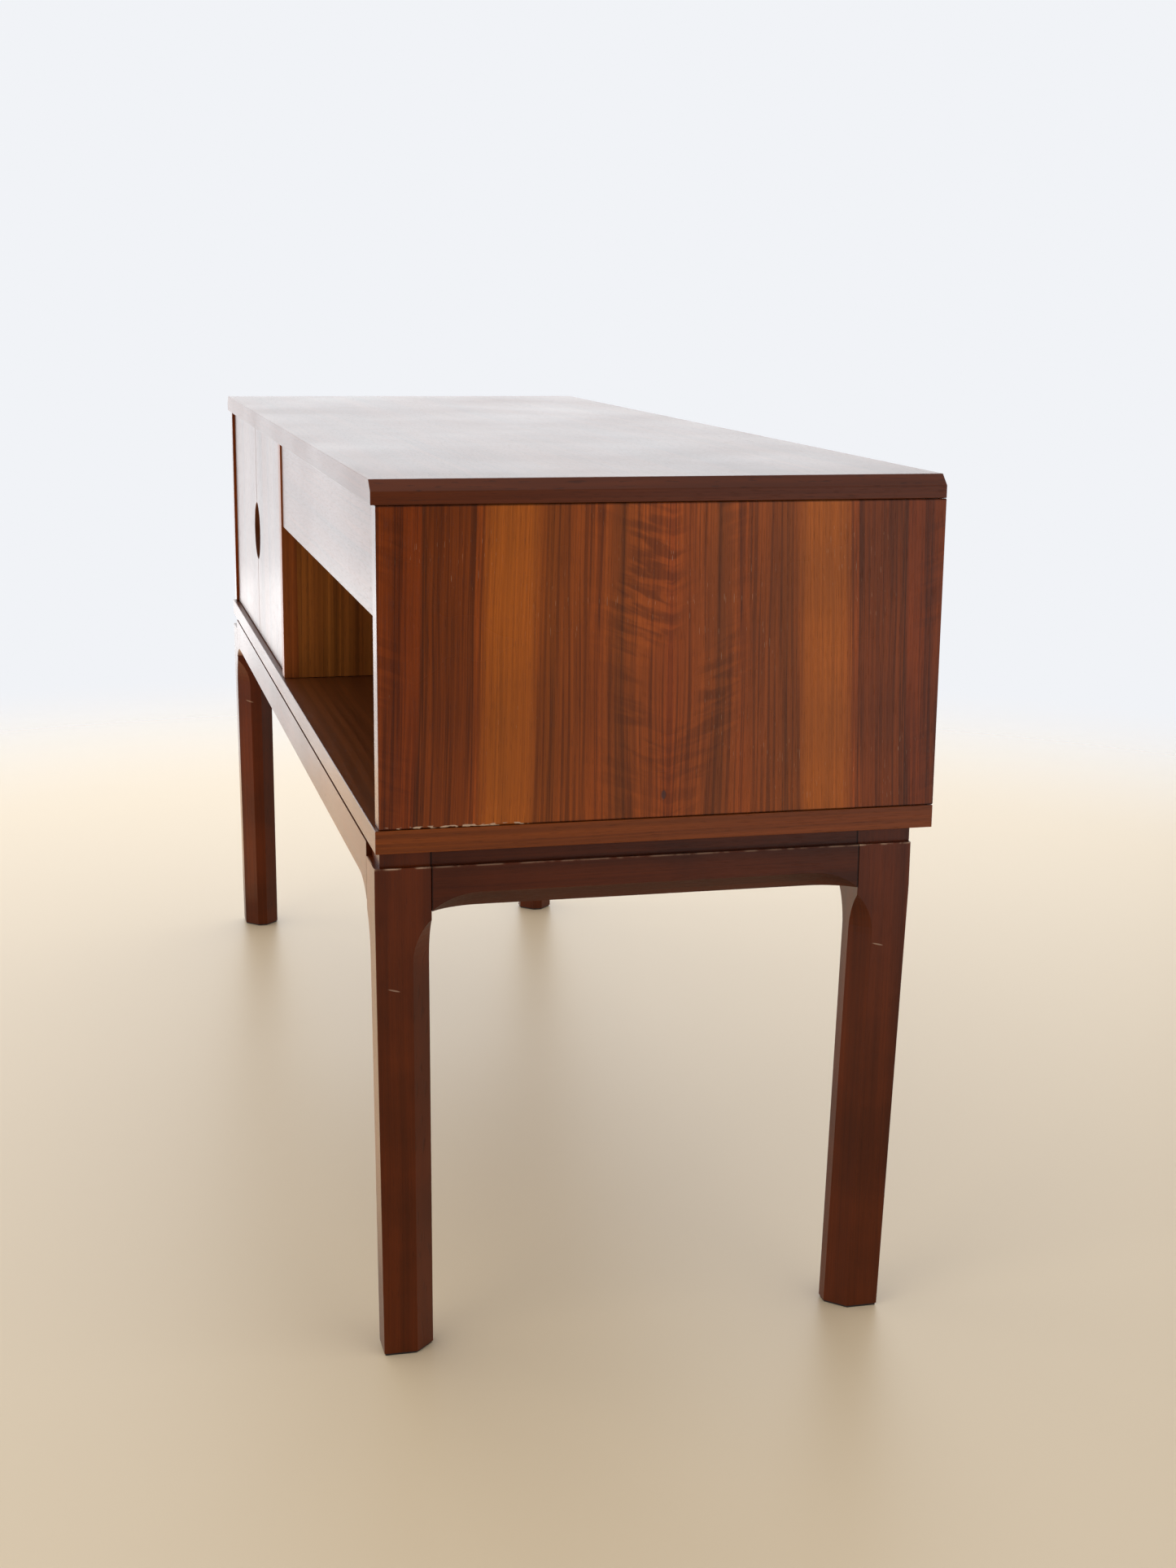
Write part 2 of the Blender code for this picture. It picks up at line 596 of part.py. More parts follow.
def make_base_frame(bottom):
    """Four legs joined by four rails, with a shadow gap cut under the case."""
    high = FRAME_TOP + REBATE_H
    rebates = {
        "left": box("rebate_left", (-LENGTH, -DEPTH, LEDGE), (-FRAME_X + REBATE_D, DEPTH, high)),
        "right": box("rebate_right", (LENGTH, -DEPTH, LEDGE), (FRAME_X - REBATE_D, DEPTH, high)),
        "front": box("rebate_front", (-LENGTH, -DEPTH, LEDGE), (LENGTH, FRAME_FRONT + REBATE_D, high)),
    }
    for depth_name, sign_y, corner_y in (("front", -1.0, FRAME_FRONT), ("back", 1.0, FRAME_BACK)):
        for side, sign_x in side_groups():
            label = depth_name + "_" + side
            leg = make_leg("leg_" + label, (sign_x, sign_y))
            boolean(leg, rebates[side])
            if depth_name == "front":
                boolean(leg, rebates["front"])
            make_block("corner_block_" + label, (sign_x, sign_y), corner_y, bottom)
    reach_x = FRAME_X - LEG_TOP - GAP
    front_rail = make_rail("rail_front", (-reach_x, FRAME_FRONT, 0), (reach_x, FRAME_FRONT, 0),
                           (0, 1, 0))
    groove = box("groove_front", (-LENGTH, -DEPTH, BOARD_UNDER - FRONT_GROOVE_H),
                 (LENGTH, FRAME_FRONT + REBATE_D, high))
    boolean(front_rail, groove)
    make_rail("rail_back", (-reach_x, FRAME_BACK, 0), (reach_x, FRAME_BACK, 0), (0, -1, 0))
    rail_front = FRAME_FRONT + LEG_TOP + GAP
    rail_back = FRAME_BACK - LEG_TOP - GAP
    for side, sign in side_groups():
        rail = make_rail("rail_" + side, (sign * FRAME_X, rail_front, 0),
                         (sign * FRAME_X, rail_back, 0), (-sign, 0, 0))
        boolean(rail, rebates[side])


def main():
    """Builds the whole bench."""
    start()
    top, bottom = make_case()
    make_drawer()
    make_doors(top, bottom)
    make_base_frame(bottom)


main()
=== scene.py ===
"""Looks of the television bench: wood, brass and steel finishes, fine shapes, studio and camera."""
import math

import bmesh
import bpy
from mathutils import Matrix, Vector


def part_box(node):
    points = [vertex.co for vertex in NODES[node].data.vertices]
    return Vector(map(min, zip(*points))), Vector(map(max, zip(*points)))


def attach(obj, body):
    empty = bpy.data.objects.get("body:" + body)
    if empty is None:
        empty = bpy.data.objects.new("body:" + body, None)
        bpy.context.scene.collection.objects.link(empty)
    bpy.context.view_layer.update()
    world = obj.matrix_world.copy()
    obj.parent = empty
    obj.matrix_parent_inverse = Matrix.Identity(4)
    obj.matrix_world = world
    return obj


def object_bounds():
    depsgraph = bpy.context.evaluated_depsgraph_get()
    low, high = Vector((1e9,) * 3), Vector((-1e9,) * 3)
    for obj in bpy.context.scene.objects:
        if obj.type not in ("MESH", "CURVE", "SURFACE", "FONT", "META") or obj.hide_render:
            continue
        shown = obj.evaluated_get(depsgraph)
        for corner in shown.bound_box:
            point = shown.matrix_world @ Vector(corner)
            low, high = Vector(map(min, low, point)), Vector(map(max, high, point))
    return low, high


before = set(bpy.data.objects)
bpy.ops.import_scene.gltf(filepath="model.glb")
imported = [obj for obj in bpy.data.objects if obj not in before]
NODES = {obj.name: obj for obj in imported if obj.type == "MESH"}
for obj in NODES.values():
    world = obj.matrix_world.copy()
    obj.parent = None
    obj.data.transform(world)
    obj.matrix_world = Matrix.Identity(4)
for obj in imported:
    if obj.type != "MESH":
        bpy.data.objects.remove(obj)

CAD_BOX = [list(corner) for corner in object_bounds()]
LOW = Vector(CAD_BOX[0])
HIGH = Vector(CAD_BOX[1])
MM = 0.001
CASE_MIDDLE = (LOW.y + HIGH.y) / 2

# ---------------------------------------------------------------- camera, in metres and degrees
LENS = 49.92           # mm
SENSOR = 36.0
CAMERA_BEYOND_END = 1.4747
CAMERA_BEFORE_FRONT = 0.2095
CAMERA_ABOVE_TOP = 0.1257
YAW = 13.863
PITCH = 12.741
ROLL = 0.599

# ---------------------------------------------------------------- stage and lights
FLOOR_RADIUS = 3.2
FLOOR_FADE = (1.25, 2.4)       # from the middle, the floor fades out between these radii
FLOOR_COLOUR = (219, 197, 163)
WALL_COLOUR = (241, 243, 247)
FLAG_COLOUR = (20, 19, 18)
FLAG_PLACE = (3.4, -1.08, 1.2)
FLAG_SIZE = (3.2, 2.6)
GLARE_LEVEL = 0.02             # height of the two lights that lie just above the floor
# name, place, target, size, radiance, colour
LIGHTS = (
    ("far_window", (-3.2, 0.2, 0.95), (0, 0, 0.6), (5.2, 2.2), 1.36, (0.95, 1.0, 1.03)),
    ("left_window", (-1.2, -3.4, 1.5), (0, 0, 0.4), (2.6, 2.0), 1.05, (1.0, 1.0, 1.0)),
    ("floor_glare", (-2.6, -0.83, GLARE_LEVEL), (-2.6, -0.83, 1.0), (2.4, 1.0), 1.32,
     (1.0, 0.98, 0.95)),
    ("warm_glare", (-0.45, -0.545, GLARE_LEVEL), (-0.45, -0.545, 1.0), (1.9, 0.61), 0.9,
     (1.0, 0.64, 0.33)),
    ("right_window", (3.3, 1.45, 0.3), (0.6, 0.1, 0.5), (1.2, 1.7), 1.05, (1.0, 1.0, 1.0)),
    ("near_window", (2.0, -2.6, 1.1), (0.3, 0, 0.35), (1.8, 1.6), 1.6, (1.0, 0.97, 0.92)),
)

# ---------------------------------------------------------------- fine pieces, in metres
SMOOTH_ANGLE = 35.0            # degrees; sharper edges stay sharp
SOFT_EDGE = 0.0006             # rounding on the legs and rails
SOFT_ANGLE = 25.0
HEAD_SIDES = 20
HEAD_RINGS = 12
HEAD_RISE = 0.00025            # crown of a screw head above the face it is let into
HEAD_SUNK = 0.0008             # the rest of it, below that face
SLOT_HALF = 0.16               # slot of a screw head, as shares of its radius
SLOT_WALL = 0.03
SLOT_DEPTH = 0.35
FIRST_TURN = 25                # degrees; slots are left at chance angles
NEXT_TURN = 67
BACK_SCREW_R = 0.0032
PLATE_SCREW_R = 0.0024
RUNNER_SCREW_R = 0.0026
CATCH_SCREW_R = 0.0022
FRAME_SCREW_R = 0.0042
BACK_SCREW_EDGE = 0.008        # back panel's edge to its screws
BACK_SCREW_END = 0.020         # back panel's end to the first screw of a row
BACK_SCREWS = 7                # in the upper and in the lower row
DIVIDER_SCREWS = (0.3, 0.7)    # shares of the back panel's height
RUNNER_SCREWS = (0.08, 0.5, 0.92)      # shares of a runner's length
PLATE_SCREWS = (0.010, 0.0225)         # from the pivot axis
PLATE_END = 0.0045                     # plate end beyond the pivot axis
POLE_SIZE = (0.019, 0.0004, 0.0014)    # steel poles of a magnetic catch
POLE_FROM_MIDDLE = 0.003
POLE_EDGE = 0.0001
CATCH_SCREW_FROM_MIDDLE = 0.009
CATCH_SCREW_SETBACK = 0.002
STRIKE_SCREW_SUNK = 0.0001
PINS = 3                       # dovetail pins in each corner of the drawer
PIN_ROOT = 0.0034              # half width of a pin where it starts
PIN_TIP = 0.0052
PIN_DEPTH = 0.010
PIN_PROUD = 0.00012
PIN_SUNK = 0.0003


def make_camera():
    """A view along the bench from beyond its right end, a little above its top."""
    data = bpy.data.cameras.new("camera")
    data.lens = LENS
    data.sensor_width = SENSOR
    data.clip_start = 0.01
    camera = bpy.data.objects.new("camera", data)
    bpy.context.scene.collection.objects.link(camera)
    yaw, pitch, roll = (math.radians(angle) for angle in (YAW, PITCH, ROLL))
    level = Vector((-math.cos(yaw), math.sin(yaw), 0.0))
    right = Vector((math.sin(yaw), math.cos(yaw), 0.0))
    up = Vector((0.0, 0.0, 1.0))
    forward = level * math.cos(pitch) - up * math.sin(pitch)
    head = up * math.cos(pitch) + level * math.sin(pitch)
    side = right * math.cos(roll) + head * math.sin(roll)
    crown = head * math.cos(roll) - right * math.sin(roll)
    turn = Matrix((side, crown, -forward)).transposed().to_4x4()
    place = Vector((HIGH.x + CAMERA_BEYOND_END, LOW.y - CAMERA_BEFORE_FRONT,
                    HIGH.z + CAMERA_ABOVE_TOP))
    camera.matrix_world = Matrix.Translation(place) @ turn
    bpy.context.scene.camera = camera


# ---------------------------------------------------------------- shader helpers
def linear(red, green, blue):
    """An sRGB colour from 0 to 255 as linear light."""
    values = []
    for part in (red, green, blue):
        part = part / 255.0
        values.append(part / 12.92 if part <= 0.04045 else ((part + 0.055) / 1.055) ** 2.4)
    return (*values, 1.0)


class Shader:
    """A node material under construction; sockets and numbers mix freely as inputs."""

    def __init__(self, name):
        self.material = bpy.data.materials.new(name)
        self.material.use_nodes = True
        self.tree = self.material.node_tree
        self.main = self.tree.nodes["Principled BSDF"]
        coordinates = self.add("ShaderNodeTexCoord").outputs
        self.place = coordinates["Object"]
        self.normal = coordinates["Normal"]
        self.x, self.y, self.z = self.split(self.place)

    def add(self, kind, inputs=(), **settings):
        """Adds a node, sets its properties and fills its inputs."""
        node = self.tree.nodes.new(kind)
        for key, value in settings.items():
            setattr(node, key, value)
        for key, value in (inputs.items() if isinstance(inputs, dict) else enumerate(inputs)):
            self.put(node.inputs[key], value)
        return node

    def put(self, socket, value):
        """Links a socket or sets a value."""
        if isinstance(value, bpy.types.NodeSocket):
            self.tree.links.new(value, socket)
        elif value is not None:
            socket.default_value = value

    def math(self, operation, *values):
        """One arithmetic step."""
        return self.add("ShaderNodeMath", values, operation=operation).outputs[0]

    def times(self, first, second):
        """first * second."""
        return self.math("MULTIPLY", first, second)

    def plus(self, first, second):
        """first + second."""
        return self.math("ADD", first, second)

    def fit(self, value, factor, offset):
        """value * factor + offset."""
        return self.math("MULTIPLY_ADD", value, factor, offset)

    def split(self, vector):
        """X, Y and Z of a vector."""
        return self.add("ShaderNodeSeparateXYZ", (vector,)).outputs

    def join(self, x, y, z):
        """A vector from three numbers."""
        return self.add("ShaderNodeCombineXYZ", (x, y, z)).outputs[0]

    def noise(self, x, y, z, detail=2.0, roughness=0.5, distortion=0.0):
        """Noise over ready scaled numbers."""
        inputs = {"Vector": self.join(x, y, z), "Scale": 1.0, "Detail": detail,
                  "Roughness": roughness, "Distortion": distortion}
        return self.add("ShaderNodeTexNoise", inputs).outputs[0]

    def cloud(self, scale, detail=2.0, seed=0.0):
        """Even noise over the whole object."""
        return self.noise(self.fit(self.x, scale, seed), self.times(self.y, scale),
                          self.times(self.z, scale), detail)

    def band(self, value, low, high, out_low=0.0, out_high=1.0):
        """A smooth step from one level to another."""
        inputs = {"Value": value, "From Min": low, "From Max": high, "To Min": out_low,
                  "To Max": out_high}
        return self.add("ShaderNodeMapRange", inputs, interpolation_type="SMOOTHSTEP").outputs[0]

    def ramp(self, value, stops):
        """A colour ramp from (position, colour) stops."""
        node = self.add("ShaderNodeValToRGB", (value,))
        elements = node.color_ramp.elements
        while len(elements) < len(stops):
            elements.new(0.5)
        for element, (position, colour) in zip(elements, stops):
            element.position = position
            element.color = colour
        return node.outputs[0]

    def mix(self, factor, first, second, blend="MIX"):
        """Mixes two colours."""
        node = self.add("ShaderNodeMix", data_type="RGBA", blend_type=blend)
        for index, value in ((0, factor), (6, first), (7, second)):
            self.put(node.inputs[index], value)
        return node.outputs[2]

    def mix_number(self, factor, first, second):
        """Mixes two numbers."""
        node = self.add("ShaderNodeMix", (factor, None, first, second), data_type="FLOAT")
        return node.outputs[0]

    def shade(self, colour, level):
        """Multiplies a colour by a number."""
        return self.mix(1.0, colour, self.join(level, level, level), "MULTIPLY")

    def near(self, first, first_at, second, second_at, reach):
        """1 on a line given by two coordinates, fading to 0 at some distance from it."""
        a = self.math("SUBTRACT", first, first_at)
        b = self.math("SUBTRACT", second, second_at)
        gap = self.math("SQRT", self.plus(self.times(a, a), self.times(b, b)))
        return self.band(gap, reach, reach * 0.25)

    def spot(self, first, first_at, first_size, second, second_at, second_size):
        """1 inside an ellipse, with a soft rim."""
        a = self.fit(first, 1.0 / first_size, -first_at / first_size)
        b = self.fit(second, 1.0 / second_size, -second_at / second_size)
        gap = self.math("SQRT", self.plus(self.times(a, a), self.times(b, b)))
        return self.band(gap, 1.0, 0.6)

    def finish(self, colour=None, roughness=None, height=None, depth=0.0002, **fixed):
        """Wires the results into the surface shader."""
        self.put(self.main.inputs["Base Color"], colour)
        self.put(self.main.inputs["Roughness"], roughness)
        if height is not None:
            bump = self.add("ShaderNodeBump", {"Height": height, "Strength": 1.0,
                                               "Distance": depth})
            self.tree.links.new(bump.outputs[0], self.main.inputs["Normal"])
        for key, value in fixed.items():
            self.main.inputs[key.replace("_", " ")].default_value = value
        return self.material


# ---------------------------------------------------------------- wood
def stops_of(*colours):
    """Colours spread evenly over a ramp."""
    last = len(colours) - 1
    return [(index / last, linear(*colour)) for index, colour in enumerate(colours)]


WALNUT = stops_of((84, 41, 18), (92, 46, 20), (99, 50, 22), (105, 55, 24), (95, 48, 20))
TOP_LIPPING = stops_of((74, 32, 11), (84, 36, 12), (92, 41, 14), (79, 34, 12))
BOTTOM_LIPPING = stops_of((96, 42, 9), (112, 51, 12), (124, 59, 15), (106, 47, 10))
FRAME_WOOD = stops_of((70, 27, 6), (80, 32, 8), (89, 36, 9), (82, 32, 7))
INSIDE_WOOD = stops_of((120, 64, 25), (156, 90, 36), (176, 106, 43), (142, 78, 31))
FRONT_EDGE = stops_of((92, 44, 19), (104, 51, 23), (98, 47, 21))
DIVIDER_LIPPING = stops_of((132, 64, 26), (146, 76, 31), (156, 84, 36))
LIPPING_DEPTH = 0.014
BEECH = stops_of((178, 138, 98), (196, 158, 114), (208, 172, 130))
PLY = stops_of((112, 70, 42), (128, 83, 51), (142, 96, 61))
BARE_WOOD = linear(186, 156, 130)      # chipped or rubbed places
PORE_FILLER = linear(196, 160, 128)
BRUISE = linear(58, 44, 44)
WRAP_LONG = 1.3        # how fast the figure moves on round the edge of a lying board
WRAP_UPRIGHT = 1.2     # and of an upright board or a lipping
END_FACING = 0.3       # X of the normal above which a face shows the end lipping
EDGE_FACING = 0.7      # Y of the normal above which it is a side panel's solid edge
TONES_AT = (0.28, 0.72)            # noise levels of the first and the last colour
GROWTH_AT = (0.56, 0.36)           # noise at which growth lines start and are full
FIBRE_AT = (0.30, 0.70)
PORES_AT = (0.60, 0.70)
FIBRE_SCALE = (7.0, 620.0)         # features per metre along and across the grain
PORE_SCALE = (70.0, 1900.0)
STREAK_SCALE = (0.5, 70.0)
TONE_RUN = 0.35


class Wood(Shader):
    """Coordinates along and across the grain, and the layers that all boards share."""

    def __init__(self, name, grain, seed, end_lipping=False):
        super().__init__(name)
        x, y, z = self.x, self.y, self.z
        if grain == "X":
            along, across = x, self.fit(z, WRAP_LONG, y)
        elif grain == "Y":
            along, across = y, self.fit(z, WRAP_LONG, x)
        else:
            along, across = z, self.fit(x, WRAP_UPRIGHT, y)
        if end_lipping:
            facing = self.math("ABSOLUTE", self.split(self.normal)[0])
            self.is_end = self.math("GREATER_THAN", facing, END_FACING)
            along = self.mix_number(self.is_end, along, y)
            across = self.mix_number(self.is_end, across, self.fit(x, WRAP_UPRIGHT, z))
        self.along, self.across, self.seed = along, across, seed

    def layer(self, along_scale, across_scale, detail=2.0, roughness=0.5, offset=0.0):
        """Noise stretched along the grain, over the bent across coordinate."""
        return self.noise(self.times(self.along, along_scale), self.times(self.bent, across_scale),
                          self.seed + offset, detail, roughness)

    def bend(self, amount=0.016, along_scale=1.6, across_scale=5.0):
        """Lets the grain wander sideways along the board."""
        wander = self.noise(self.times(self.along, along_scale),
                            self.times(self.across, across_scale), self.seed + 3.3, 1.0)
        self.bent = self.plus(self.across, self.fit(wander, amount, -amount / 2))

    def details(self, colour, lines=0.30, fine=0.14, pores=0.32, plain=None, crowding=210.0,
                breaks=1.0):
        """Adds growth lines, fibres and pores to a colour, and returns the height map too."""
        growth = self.band(self.layer(breaks, crowding, 2.0, 0.6, 1.0), *GROWTH_AT)
        growth = self.times(growth, lines)
        if plain is not None:
            growth = self.times(growth, plain)
        colour = self.shade(colour, self.fit(growth, -1.0, 1.0))
        fibre = self.layer(*FIBRE_SCALE, 2.0, 0.6, 2.0)
        colour = self.shade(colour, self.band(fibre, *FIBRE_AT, 1.0 - fine, 1.0 + fine * 0.7))
        pore = self.band(self.layer(*PORE_SCALE, 1.0, 0.5, 4.0), *PORES_AT)
        colour = self.shade(colour, self.fit(pore, -pores, 1.0))
        height = self.fit(pore, -0.8, self.times(fibre, 0.35))
        return colour, height

    def lacquered(self, colour, height, roughness=0.30, spread=0.10, shine=0.22, depth=0.00004,
                  dull=None):
        """Satin lacquer whose gloss varies a little over the board."""
        rough = self.fit(self.cloud(6.0, 3.0), spread, roughness - spread / 2)
        if dull is not None:
            rough = self.plus(rough, self.times(dull, 0.25))
        return self.finish(colour, rough, height, depth, Specular_IOR_Level=shine)


def board(name, grain, seed, stops, lipping=None, lines=0.30, fine=0.14, pores=0.32,
          streaks=0.30, tone_scale=20.0, **coat):
    """A board whose tones run in streaks along the grain, with solid lippings at its ends."""
    shader = Wood(name, grain, seed, lipping is not None)
    shader.bend()
    tone = shader.band(shader.layer(TONE_RUN, tone_scale, 3.0, 0.6), *TONES_AT)
    colour = shader.ramp(tone, stops)
    streak = shader.band(shader.layer(*STREAK_SCALE, 2.0, 0.5, 7.0), 0.64, 0.72)
    colour = shader.shade(colour, shader.fit(streak, -streaks, 1.0))
    if lipping is not None:
        colour = shader.mix(shader.is_end, colour, shader.ramp(tone, lipping))
    colour, height = shader.details(colour, lines, fine, pores)
    return shader.lacquered(colour, height, **coat)


SEAM = 4.2      # mm from the middle of the depth to the veneer seam
LEAF = 216.0    # mm covered by the tones below
LEAF_WRAP = 0.8            # how fast the figure moves on round the panel's edges
LEAF_DRIFT = 0.009         # how far the figure wanders sideways
LEAF_SPREAD = 0.03         # how much it widens upwards
LEAF_SPREAD_FROM = (0.05, 0.13)
LEAF_RAGGED = 0.022        # ragged borders between its tones
GOLD_FROM = (92, 104)      # mm from the seam: the gold bands fade in and out here
GOLD_TO = (142, 132)
GOLD_LINES = 0.25          # share of the growth lines that the gold bands keep
RIPPLE_SLANT = -0.37       # the ripple runs down towards the seam
RIPPLE_SCALE = (26.0, 118.0)
RIPPLE_REACH = (0.070, 0.024)
RIPPLE_DARK = -0.30
RIPPLE_PALE = 0.15
RIPPLE_FOOT = (0.42, 0.52, 0.45)   # up to this height and from this one, and what is left below
EDGE_RIPPLE_FROM = (0.178, 0.200)
GROOVE_SHADE = (0.0016, 0.0006)      # painted shade: a dark line along the foot and the top of the panel, where the grooves at the joints lie in shade
CHIP_LINE = (0.0024, 0.0013)       # chips just above it
CHIP_END = (-0.085, -0.105)        # and only near the front
DENT_PLACE = (0.001, 0.017)        # y, and height above the foot of the panel
DENT_SIZE = (0.0022, 0.0042)
# tones from the seam outwards: mm and sRGB colour
LEAF_TONES = (
    (0, (138, 60, 15)), (5, (155, 71, 18)), (9, (140, 64, 16)), (20, (143, 67, 18)),
    (28, (136, 64, 16)), (34, (117, 56, 14)), (39, (117, 56, 14)), (43, (132, 62, 15)),
    (49, (145, 68, 17)), (51.5, (136, 62, 15)), (52.5, (97, 43, 10)), (54, (140, 64, 14)),
    (62, (135, 63, 14)), (80, (129, 61, 14)), (88, (119, 57, 12)), (93, (131, 62, 13)),
    (100, (145, 73, 19)), (107, (159, 81, 20)), (120, (154, 79, 20)), (130, (159, 81, 20)),
    (136, (146, 72, 18)), (138, (123, 56, 12)), (141, (145, 66, 15)), (146, (111, 50, 11)),
    (152, (117, 52, 10)), (166, (113, 50, 10)), (178, (117, 52, 10)), (181, (82, 36, 8)),
    (184, (123, 52, 11)), (192, (119, 50, 10)), (199, (98, 41, 9)), (208, (125, 54, 12)),
)


def make_end_veneer(name):
    """Book-matched leaves: golden bands either side of a rippled, reddish middle."""
    shader = Wood(name, "Z", 3.0)
    seam = CASE_MIDDLE + SEAM * MM
    x, y, z = shader.x, shader.y, shader.z
    from_seam = shader.math("ABSOLUTE", shader.math("SUBTRACT", y, seam))
    depth = shader.math("ABSOLUTE", x)
    shader.across = shader.plus(from_seam, shader.fit(depth, -LEAF_WRAP, HIGH.x * LEAF_WRAP))
    shader.along = z
    shader.bend(amount=0.006, along_scale=5.0, across_scale=9.0)
    drift = shader.noise(shader.times(z, 3.4), shader.times(y, 3.0), 5.0, 1.0)
    shader.bent = shader.plus(shader.bent, shader.fit(drift, LEAF_DRIFT, -LEAF_DRIFT / 2))
    middle = middle_of("side_panel_right").z
    spread = shader.times(shader.fit(z, LEAF_SPREAD, -LEAF_SPREAD * middle),
                          shader.band(from_seam, *LEAF_SPREAD_FROM))
    shader.bent = shader.plus(shader.bent, spread)
    ragged = shader.layer(2.2, 170.0, 3.0, 0.7, 5.0)
    ragged = shader.fit(ragged, LEAF_RAGGED, -LEAF_RAGGED / 2)
    place = shader.math("DIVIDE", shader.plus(shader.bent, ragged), LEAF * MM)
    tones = [(mm / LEAF, linear(*colour)) for mm, colour in LEAF_TONES]
    colour = shader.ramp(place, tones)
    gold = shader.times(shader.band(place, *(mm / LEAF for mm in GOLD_FROM)),
                        shader.band(place, *(mm / LEAF for mm in GOLD_TO)))
    plain = shader.fit(gold, GOLD_LINES - 1.0, 1.0)

    # ripple near the seam, slanting down towards it
    slanted = shader.fit(from_seam, RIPPLE_SLANT, z)
    ripple = shader.noise(shader.times(y, RIPPLE_SCALE[0]), shader.times(slanted, RIPPLE_SCALE[1]),
                          1.0, 2.5, 0.55, 0.6)
    patch = shader.noise(shader.times(y, 20.0), shader.times(z, 13.0), 2.0, 1.0)
    near_seam = shader.times(shader.band(from_seam, *RIPPLE_REACH),
                             shader.band(z, *RIPPLE_FOOT))
    near_edge = shader.times(shader.band(from_seam, *EDGE_RIPPLE_FROM), 0.5)
    figured = shader.times(shader.plus(near_seam, near_edge), shader.band(patch, 0.34, 0.58))
    wave = shader.times(shader.band(ripple, 0.40, 0.60, RIPPLE_DARK, RIPPLE_PALE), figured)
    colour = shader.shade(colour, shader.plus(wave, 1.0))

    cloud = shader.noise(shader.times(y, 7.0), shader.times(z, 9.0), 8.0, 2.0)
    colour = shader.shade(colour, shader.band(cloud, 0.25, 0.75, 0.88, 1.14))
    facing = shader.math("ABSOLUTE", shader.split(shader.normal)[1])
    colour = shader.mix(shader.math("GREATER_THAN", facing, EDGE_FACING), colour,
                        shader.ramp(shader.layer(0.5, 60.0), FRONT_EDGE))
    colour, height = shader.details(colour, 0.40, 0.17, 0.26, plain, 330.0, 4.0)

    # pale filler in the pores, painted shade along the grooves at the foot and the top of the
    # panel, chips along the foot of the panel and a dent
    foot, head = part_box("side_panel_right")[0][2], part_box("side_panel_right")[1][2]
    filled = shader.times(shader.band(shader.layer(95.0, 1500.0, 1.0, 0.5, 9.0), 0.70, 0.76),
                          shader.band(shader.cloud(14.0, 1.0, 4.0), 0.50, 0.62))
    colour = shader.mix(shader.times(filled, 0.35), colour, PORE_FILLER)
    # painted shade: thin dark lines on the panel just inside its foot and its top, standing in for
    # the shade of the grooves there
    for level, way in ((foot, 1), (head, -1)):
        joint = shader.band(z, *(level + way * rise for rise in GROOVE_SHADE))
        colour = shader.shade(colour, shader.fit(joint, -0.6, 1.0))
    chips = shader.band(shader.noise(shader.times(y, 150.0), shader.times(z, 420.0), 6.0, 1.0),
                        0.53, 0.59)
    chips = shader.times(chips, shader.band(z, *(foot + rise for rise in CHIP_LINE)))
    chips = shader.times(chips, shader.band(y, *CHIP_END))
    colour = shader.mix(chips, colour, BARE_WOOD)
    dent = shader.spot(y, DENT_PLACE[0], DENT_SIZE[0], z, foot + DENT_PLACE[1], DENT_SIZE[1])
    colour = shader.mix(shader.times(dent, 0.75), colour, BRUISE)
    height = shader.plus(height, shader.times(shader.plus(dent, chips), -3.0))
    return shader.lacquered(colour, height, 0.26, shine=0.16)


REBATE_H = 0.012       # the ledge of the legs and end rails, below the case
RAIL_WEAR = 0.35       # wear of the rails as a share of the legs' wear
END_WEAR = 0.0015      # width of the rubbed line along an arris
FRONT_WEAR = 0.0013
RAIL_SEAM = (0.0011, 0.0004)       # dark line between an end rail and a leg
FRAME_MOTTLE = 0.16
# a scratch on every leg: y off the end rail's near end, and height
SCRATCHES = ((-0.028, 0.285), (0.018, 0.297))
SCRATCH_SIZE = (0.005, 0.0007)
SCRATCH_SLANT = 0.25


